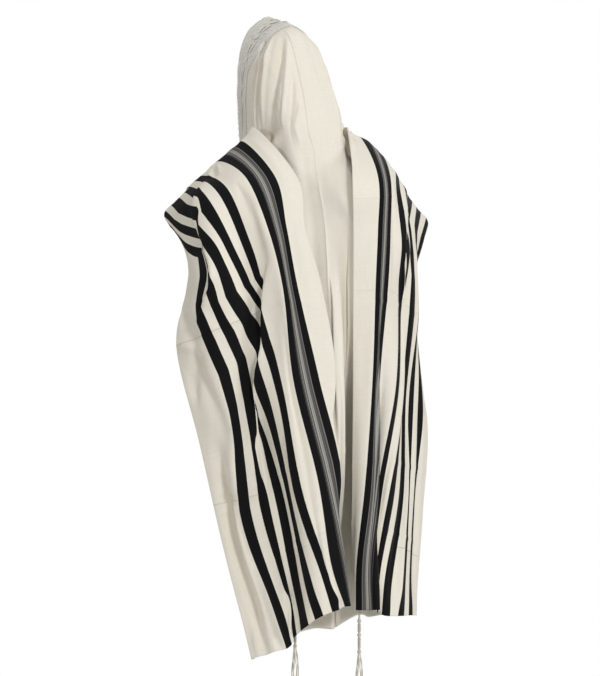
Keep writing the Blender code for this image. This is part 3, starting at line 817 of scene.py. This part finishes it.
def wrap_piece(side_name, side, sections, finish):
    """One thrown-back end with its lap, its front fold and the start of the layer under it."""
    down = np.linspace(FIRST, LAST, END_ROWS)[:, None]
    across = np.linspace(0.0, END_WIDTH, END_COLUMNS)[None, :]
    outer = end_cloth(side_name, side, sections, across, down)
    fold = 0.0 if side > 0 else INNER_PLACES[-1]
    places = np.linspace(fold, fold + side * INNER_REACH, UNDER_COLUMNS)
    below = inner_surface(np.sort(places), down[:, 0] - FIRST)
    turned = normals(below)
    if side < 0:
        below, turned = below[:, ::-1], turned[:, ::-1]
    reach = np.abs(places - places[0])[None, :]
    rise = inner_heights(places[None, :], down - FIRST) + WRAP_TUCK * soft_step(reach, 0.26, 0.30)
    below = below + turned * (HALF_WALL + rise)[..., None]
    start, stop = outer[:, -1], below[:, 0]
    bulge = outer[:, -1] - outer[:, -3]
    bulge /= np.linalg.norm(bulge, axis=1, keepdims=True)
    half = np.linalg.norm(stop - start, axis=1, keepdims=True) * 0.5
    turn = []
    for angle in (0.25, 0.5, 0.75):
        share = 0.5 - 0.5 * math.cos(math.pi * angle)
        turn.append(start + (stop - start) * share + bulge * half * math.sin(math.pi * angle))
    strip = np.concatenate((outer, np.stack(turn, axis=1), below), axis=1)
    beyond = END_WIDTH + np.concatenate(((0.001, 0.002, 0.003), 0.004 + reach[0]))
    measure = np.concatenate((woven_measure(side_name, across, down),
                              np.broadcast_to(beyond, (len(down), len(beyond)))), axis=1)
    form = bmesh.new()
    grid_part(form, strip, measure, (down - FIRST) * STATION)
    lap_down = np.linspace(0.0, FIRST, LAP_ROWS)[:, None]
    lap_across = across[:, :1 + round(LAP_WIDTH / END_WIDTH * (END_COLUMNS - 1))]
    lap = end_cloth(side_name, side, sections, lap_across, lap_down)
    lap[-1] = strip[0, :lap.shape[1]]
    grid_part(form, lap, lap_across, (lap_down - FIRST) * STATION)
    bmesh.ops.remove_doubles(form, verts=form.verts, dist=1e-6)
    bmesh.ops.recalc_face_normals(form, faces=form.faces)
    piece = cloth_piece(side_name + "_wrap", form, finish)
    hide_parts(*(side_name + part for part in ("_end", "_sleeve", "_lap", "_under")))
    return piece


def centre_crease(off):
    """Height of the crease down the middle of the cloth, at so many metres from it."""
    return CENTRE_CREASE * MM * np.exp(-np.abs(off) / CENTRE_HALF)


def hood_points(turns, stations):
    """Points on the hood with its folds and its centre crease, and which way each one faces."""
    base = hood_surface(turns, stations)
    facing = normals(base)
    turn = np.asarray(turns)[None, :]
    station = np.asarray(stations)[:, None]
    table = np.array(HOOD_FOLDS) * (GIRTH, 1.0, GIRTH, 1.0, 1.0, GIRTH, 1.0)
    height = folds(turn * GIRTH, station, table, ARCH_STEP)
    crease = 0.442 + 0.008 * soft_step(station, 5.0, 6.0)
    height += centre_crease((turn - crease) * GIRTH) * soft_step(station, 1.8, 2.6)
    height += ripples(turn * GIRTH, station * 0.4, WAVE_SEEDS["hood"], 0.35)
    fade = soft_step(turn, 0.0, 0.02) * (1.0 - soft_step(turn, 0.98, 1.0))
    return base + facing * (HALF_WALL + height * fade)[..., None], facing


def back_piece(finish):
    """The hood and the stretch that falls from it down the back, as one cloth."""
    shares = np.unique(np.concatenate((np.linspace(0.0, 1.0, 61), np.linspace(0.33, 0.42, 37))).round(5))
    flank = np.linspace(0.0, 1.0, FLANK_COLUMNS)
    turns = np.concatenate((0.25 * flank[:-1], 0.25 + 0.5 * shares, 0.75 + 0.25 * flank[1:]))
    arches = len(HOOD_ARCHES) - 1
    stations = np.linspace(0.0, arches, HOOD_ROWS)
    hood = hood_points(turns, stations)[0]
    drop = np.linspace(1.0, 0.0, SKIRT_ROWS + 1)[:-1, None] * SKIRT
    deep = soft_step(stations, -0.5, 3.0)
    lean = np.where(stations > 4.5, -0.15, 0.10) * drop
    for side in (1, -1):
        foot = hood[:, 0 if side > 0 else -1]
        shift = (side * lean * deep, np.zeros_like(lean), -drop * (0.2 + 0.8 * deep))
        skirt = (foot[None] + np.stack(shift, axis=-1)).transpose(1, 0, 2)
        hood = np.concatenate((skirt, hood) if side > 0 else (hood, skirt[:, ::-1]), axis=1)
    spare = np.arange(1, SKIRT_ROWS + 1) * SKIRT / SKIRT_ROWS / GIRTH
    spread = np.concatenate((turns[0] - spare[::-1], turns, turns[-1] + spare))
    middle = np.interp(shares, (0.0, 0.5, 1.0), INNER_PLACES[4:7])
    places = np.concatenate((0.29 + (INNER_PLACES[4] - 0.29) * flank[:-1], middle,
                             INNER_PLACES[6] + (0.60 - INNER_PLACES[6]) * flank[1:] ** 1.4))
    down = np.linspace(0.0, LAST - FIRST, BACK_ROWS)[:, None]
    back = inner_surface(places, down[:, 0])
    crease = 0.440 - 0.008 * soft_step(down, 1.0, 3.2)
    height = (inner_heights(places[None, :], down)
              + centre_crease(places[None, :] - crease) * (1.0 - soft_step(down, 3.1, 3.4)))
    back = back + normals(back) * (HALF_WALL + height)[..., None]
    collar = hood[-1, SKIRT_ROWS:SKIRT_ROWS + len(turns)]
    back = back + (collar - back[0])[None] * (1.0 - soft_step(down, 0.0, 0.5))[..., None]
    form = bmesh.new()
    middle_line = 0.9
    grid_part(form, hood, middle_line + (spread[None, :] - 0.5) * 0.36, (stations[:, None] - arches) * 0.05)
    grid_part(form, back, middle_line + places[None, :] - INNER_PLACES[5], down * STATION)
    bmesh.ops.remove_doubles(form, verts=form.verts, dist=1e-6)
    near = KDTree(len(collar))
    for count, point in enumerate(collar):
        near.insert(point, count)
    near.balance()
    seam = [v for v in form.verts if near.find(v.co)[2] < 0.014]
    for again in range(5):
        bmesh.ops.smooth_vert(form, verts=[v for v in seam if not v.is_boundary], factor=0.5,
                              use_axis_x=True, use_axis_y=True, use_axis_z=True)
    bmesh.ops.recalc_face_normals(form, faces=form.faces)
    piece = cloth_piece("hood_and_back", form, finish)
    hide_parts("hood", "back_stretch")
    return piece


def lace_points(turns, shares):
    """Points on the lace: by turn, and by share of its width from the face edge."""
    deepest = 2.5
    count = 100
    points, facing = hood_points(turns, np.linspace(0.0, deepest, count + 1))
    table = np.array(LACE_REACH)
    wanted = np.asarray(shares)[:, None] * np.interp(turns, table[:, 0], table[:, 1])[None] * count / deepest
    row = np.clip(wanted.astype(int), 0, count - 1)
    part = (wanted - row)[..., None]
    column = np.arange(len(turns))[None]
    outside = points + facing * 0.0014
    return outside[row, column] * (1.0 - part) + outside[row + 1, column] * part


def lace_piece(finish):
    turns = np.linspace(0.0, 1.0, LACE_COLUMNS)
    shares = np.linspace(0.0, 1.0, LACE_ROWS)
    form = bmesh.new()
    grid_part(form, lace_points(turns, shares), turns[None, :] * LACE_LENGTH, shares[:, None] * LACE_DEPTH)
    piece = cloth_piece("lace_neckband", form, finish, 0.0)
    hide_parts("neckband_lace")
    return piece


def sprig_piece(finish):
    """Embroidered sprigs and the edging of small picots, raised on the lace."""
    form = bmesh.new()
    surface = lace_points(np.linspace(0.0, 1.0, 241), np.linspace(0.0, 1.0, 41))
    facing = normals(surface)

    def at(u, v):
        """Place and frame on the lace: u metres along the band, v metres from its face edge."""
        column = min(max(u / LACE_LENGTH * 240, 0.0), 239.999)
        row = min(max(v / LACE_DEPTH * 40, 0.0), 39.999)
        i, j = int(row), int(column)
        a, b = row - i, column - j
        place = ((1 - a) * (1 - b) * surface[i, j] + a * (1 - b) * surface[i + 1, j]
                 + (1 - a) * b * surface[i, j + 1] + a * b * surface[i + 1, j + 1])
        return place, facing[i, j]

    def petal(u, v, turn, long, wide, high=0.0016, sides=10):
        """One stitched leaf or petal, domed, from its root at (u, v)."""
        made = bmesh.ops.create_circle(form, cap_ends=True, segments=sides, radius=0.5)["verts"]
        face = made[0].link_faces[0]
        rim = bmesh.ops.inset_region(form, faces=[face], thickness=0.16)["faces"]
        inner = list(face.verts)
        verts = set(made) | {v for f in rim for v in f.verts} | set(inner)
        if face.normal.z < 0:
            bmesh.ops.reverse_faces(form, faces=[face, *rim])
        for vertex in verts:
            x, y = vertex.co.x + 0.5, vertex.co.y
            y *= (1.0 - 0.80 * abs(2 * x - 0.8)) if long > wide * 1.3 else 1.0
            lift = high if vertex in inner else 0.0
            du = x * long * math.cos(turn) - y * wide * math.sin(turn)
            dv = x * long * math.sin(turn) + y * wide * math.cos(turn)
            place, normal = at(u + du, v + dv)
            vertex.co = place + normal * (0.0005 + lift)

    for count in range(SPRIGS):
        u = 0.006 + SPRIG_PITCH * count
        v = LACE_DEPTH * 0.5
        for pair, long in enumerate(LEAF_LENGTHS):
            for lean in (1, -1):
                petal(u + 0.0105 * pair, v + lean * 0.0018, lean * (0.42 + 0.10 * pair), long, 0.0085)
        petal(u + 0.034, v, 0.0, 0.017, 0.0070)
        middle = u + 0.062
        for turn in range(6):
            petal(middle, v, math.tau * turn / 6 + 0.3, 0.0105, 0.0085)
        petal(middle - 0.0024, v, 0.0, 0.0048, 0.0048, 0.0022, 8)
        for lean in (1, -1):
            petal(middle - 0.012, v + lean * 0.016, lean * 0.9, 0.0105, 0.0060)
            petal(middle + 0.004, v + lean * 0.019, lean * 0.5, 0.0125, 0.0062)
            for bud in range(3):
                petal(u + 0.010 + 0.013 * bud, v + lean * 0.0235, 0.0, 0.0050, 0.0048, 0.0012, 7)
    for count in range(EDGE_BEADS):
        u = 0.004 + count * (LACE_LENGTH - 0.008) / (EDGE_BEADS - 1)
        for v in (0.0036, LACE_DEPTH - 0.0038):
            petal(u - 0.0022, v, 0.0, 0.0044, 0.0050, 0.0014, 8)
        for v in (0.0145, LACE_DEPTH - 0.0150):
            petal(u - 0.0018, v, 0.5 if v < 0.05 else -0.5, 0.0060, 0.0026, 0.0008, 6)
    piece = cloth_piece("lace_sprigs", form, finish, 0.0)
    return piece


def tassel_piece(name, side_name, side, sections, station, hang, finish):
    """Twisted cord, three knots with windings between, and eight loose two-ply strands."""
    corner = Vector(end_surface(sections, side, (TASSEL_SET,), (station,))[0, 0])
    corner.z -= hang
    form = bmesh.new()

    def strand(points, radii, sides):
        """A round thread through the points, grown ring by ring."""
        made = bmesh.ops.create_circle(form, cap_ends=True, radius=radii[0], segments=sides)["verts"]
        first = made[0].link_faces[0]
        bmesh.ops.translate(form, verts=made, vec=points[0])
        if first.normal.z < 0:
            bmesh.ops.reverse_faces(form, faces=[first])
        rim = list(first.edges)
        radius = radii[0]
        for point, wanted in zip(points[1:], radii[1:]):
            grown = bmesh.ops.extrude_edge_only(form, edges=rim)["geom"]
            verts = [g for g in grown if isinstance(g, bmesh.types.BMVert)]
            ring = set(verts)
            rim = [g for g in grown if isinstance(g, bmesh.types.BMEdge)
                   and g.verts[0] in ring and g.verts[1] in ring]
            middle = sum((v.co for v in verts), Vector()) / len(verts)
            for v in verts:
                v.co = Vector(point) + (v.co - middle) * (wanted / radius)
            radius = wanted
        bmesh.ops.contextual_create(form, geom=rim)

    steps = 60
    for ply in range(CORD_PLIES):
        points, radii = [], []
        for step in range(steps + 1):
            drop = CORD_LENGTH * step / steps
            knot = sum(math.exp(-((drop - middle) / 0.0032) ** 2) for middle in KNOTS)
            angle = math.tau * (ply / CORD_PLIES + drop / 0.016)
            ring = 0.0013 + 0.0014 * min(knot, 1.0)
            points.append(corner + Vector((ring * math.cos(angle), ring * math.sin(angle), -drop)))
            radii.append(0.00105 + 0.0011 * min(knot, 1.0))
        strand(points, radii, 7)
    for start, stop in WINDINGS:
        coil = []
        for step in range(WINDING_TURNS * 12 + 1):
            angle = math.tau * step / 12
            drop = start + (stop - start) * step / (WINDING_TURNS * 12)
            coil.append(corner + Vector((0.0030 * math.cos(angle), 0.0030 * math.sin(angle), -drop)))
        wind(form, coil, 0.0008, 5)
    for count in range(STRANDS):
        angle = math.tau * count / STRANDS
        direction = Vector((math.cos(angle), math.sin(angle), 0.0))
        length = STRAND_LENGTH * (1.0 - 0.06 * (count % 3))
        for ply in range(2):
            points, radii = [], []
            for step in range(steps + 1):
                share = step / steps
                sway = STRAND_SWAY * math.sin(math.pi * share * 1.5 + count)
                kink = 0.0011 * math.sin(23.0 * share + 2.1 * count)
                out = STRAND_RING * (0.5 + 0.5 * min(1.0, share * 8)) + STRAND_SPREAD * share
                twist = math.tau * (share * length / 0.0075 + ply / 2)
                point = corner + direction * out + Vector((sway * share + kink, kink * 0.6, 0.0))
                point += Vector((math.cos(twist), math.sin(twist), 0.0)) * 0.00055
                point.z -= STRAND_TOP + length * share
                points.append(point)
                radii.append(0.00075 * (1.0 - 0.2 * share))
            strand(points, radii, 5)
    bmesh.ops.recalc_face_normals(form, faces=form.faces)
    piece = cloth_piece(name + "_threads", form, finish, 0.0)
    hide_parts(name)
    return piece


def wind(form, points, radius, sides):
    """A thread wound round the cord: rings across its path, bridged one to the next."""
    rings = []
    for count, point in enumerate(points):
        ahead = points[min(count + 1, len(points) - 1)] - points[max(count - 1, 0)]
        turn = ahead.to_track_quat("Z", "X").to_matrix().to_4x4()
        turn.translation = point
        made = bmesh.ops.create_circle(form, cap_ends=count in (0, len(points) - 1), radius=radius,
                                       segments=sides, matrix=turn)["verts"]
        rings.append(made)
    for first, second in zip(rings, rings[1:]):
        edges = dict.fromkeys(e for ring in (first, second) for v in ring for e in v.link_edges
                              if e.other_vert(v) in ring)
        bmesh.ops.bridge_loops(form, edges=list(edges))


def build():
    plain = wool_finish("cream wool")
    left, right = (wrap_piece(name, side, sections, wool_finish("striped cream wool " + name, name))
                   for name, side, sections in SIDES)
    back = back_piece(plain)
    lace = lace_piece(lace_finish())
    sprigs = sprig_piece(plain_finish("white embroidery", WHITE, (0.72, 0.71, 0.67, 1.0), 60.0))
    thread = plain_finish("twisted wool thread", (0.74, 0.70, 0.60, 1.0), (0.58, 0.54, 0.44, 1.0), 90.0)
    for side_name, side, sections in SIDES:
        for corner, station in (("back", LAST), ("front", 0)):
            tassel_piece(side_name + "_" + corner + "_tassel", side_name, side, sections, station,
                         TASSEL_HANG[corner], thread)


# The camera: the angle it looks from, how far away, how high and how far to the side it stands, and
# how tall the frame is there at 2.24 mm a pixel; then the height of the floor
VIEW_TURN = math.radians(155)
VIEW_RIGHT = Vector((math.cos(VIEW_TURN), math.sin(VIEW_TURN), 0.0))
VIEW_BACK = Vector((math.sin(VIEW_TURN), -math.cos(VIEW_TURN), 0.0))
VIEW_DISTANCE = 4.0
VIEW_HEIGHT = -0.702
VIEW_SIDE = 0.0291
FRAME_HEIGHT = 676 * 0.00224
FLOOR = -1.80


def camera():
    data = bpy.data.cameras.new("camera")
    data.sensor_width = 36.0
    data.lens = 36.0 * VIEW_DISTANCE / FRAME_HEIGHT
    data.clip_end = 60.0
    view = stand("camera", data)
    view.location = VIEW_RIGHT * VIEW_SIDE + VIEW_BACK * VIEW_DISTANCE + Vector((0.0, 0.0, VIEW_HEIGHT))
    view.rotation_euler = (-VIEW_BACK).to_track_quat("-Z", "Y").to_euler()
    SCENE.camera = view


def lamp(name, across, back, up, power, size, aim=(0.0, 0.0, -0.65)):
    """A square soft light, placed as the camera sees the shawl: across, towards it and up."""
    data = bpy.data.lights.new(name, "AREA")
    data.energy = power
    data.size = size
    light = stand(name, data)
    light.location = VIEW_RIGHT * across + VIEW_BACK * back + Vector((0.0, 0.0, up))
    light.rotation_euler = (light.location - Vector(aim)).to_track_quat("Z", "Y").to_euler()


def studio():
    world = bpy.data.worlds.new("studio")
    world.use_nodes = True
    SCENE.world = world
    tree = world.node_tree
    sky = tree.nodes["Background"]
    sky.inputs[0].default_value = (1.0, 0.965, 0.905, 1.0)
    sky.inputs[1].default_value = 0.34
    plain = tree.nodes.new("ShaderNodeBackground")
    plain.inputs[0].default_value = (1.0, 1.0, 1.0, 1.0)
    plain.inputs[1].default_value = 1.0
    path = tree.nodes.new("ShaderNodeLightPath")
    mix = tree.nodes.new("ShaderNodeMixShader")
    tree.links.new(path.outputs["Is Camera Ray"], mix.inputs[0])
    tree.links.new(sky.outputs[0], mix.inputs[1])
    tree.links.new(plain.outputs[0], mix.inputs[2])
    tree.links.new(mix.outputs[0], tree.nodes["World Output"].inputs[0])
    lamp("key light", 1.7, 3.8, 0.9, 76.0, 0.8, (0.0, 0.0, -0.80))
    lamp("side light", 3.2, 1.4, -0.2, 24.0, 0.9, (0.0, 0.0, -0.70))
    lamp("top light", -0.2, 0.6, 2.6, 14.0, 1.4)
    lamp("fill light", -3.0, 2.0, 0.1, 20.0, 0.8, (0.0, 0.0, -0.80))
    lamp("front light", 0.6, -3.0, 0.4, 40.0, 2.0)
    form = bmesh.new()
    bmesh.ops.create_circle(form, cap_ends=True, radius=1.6, segments=96)
    bmesh.ops.translate(form, verts=form.verts, vec=(0.0, 0.0, FLOOR))
    paint = Finish("pale floor", Roughness=0.9)
    grain = paint.noise(paint.object_place(), 3.0)
    paint.give("Base Color", paint.mix(grain * 0.2, (0.86, 0.86, 0.86, 1.0), (0.80, 0.80, 0.80, 1.0)))
    meshed("floor", form, paint.material)
    SCENE.view_settings.view_transform = "Standard"


camera()
build()
studio()
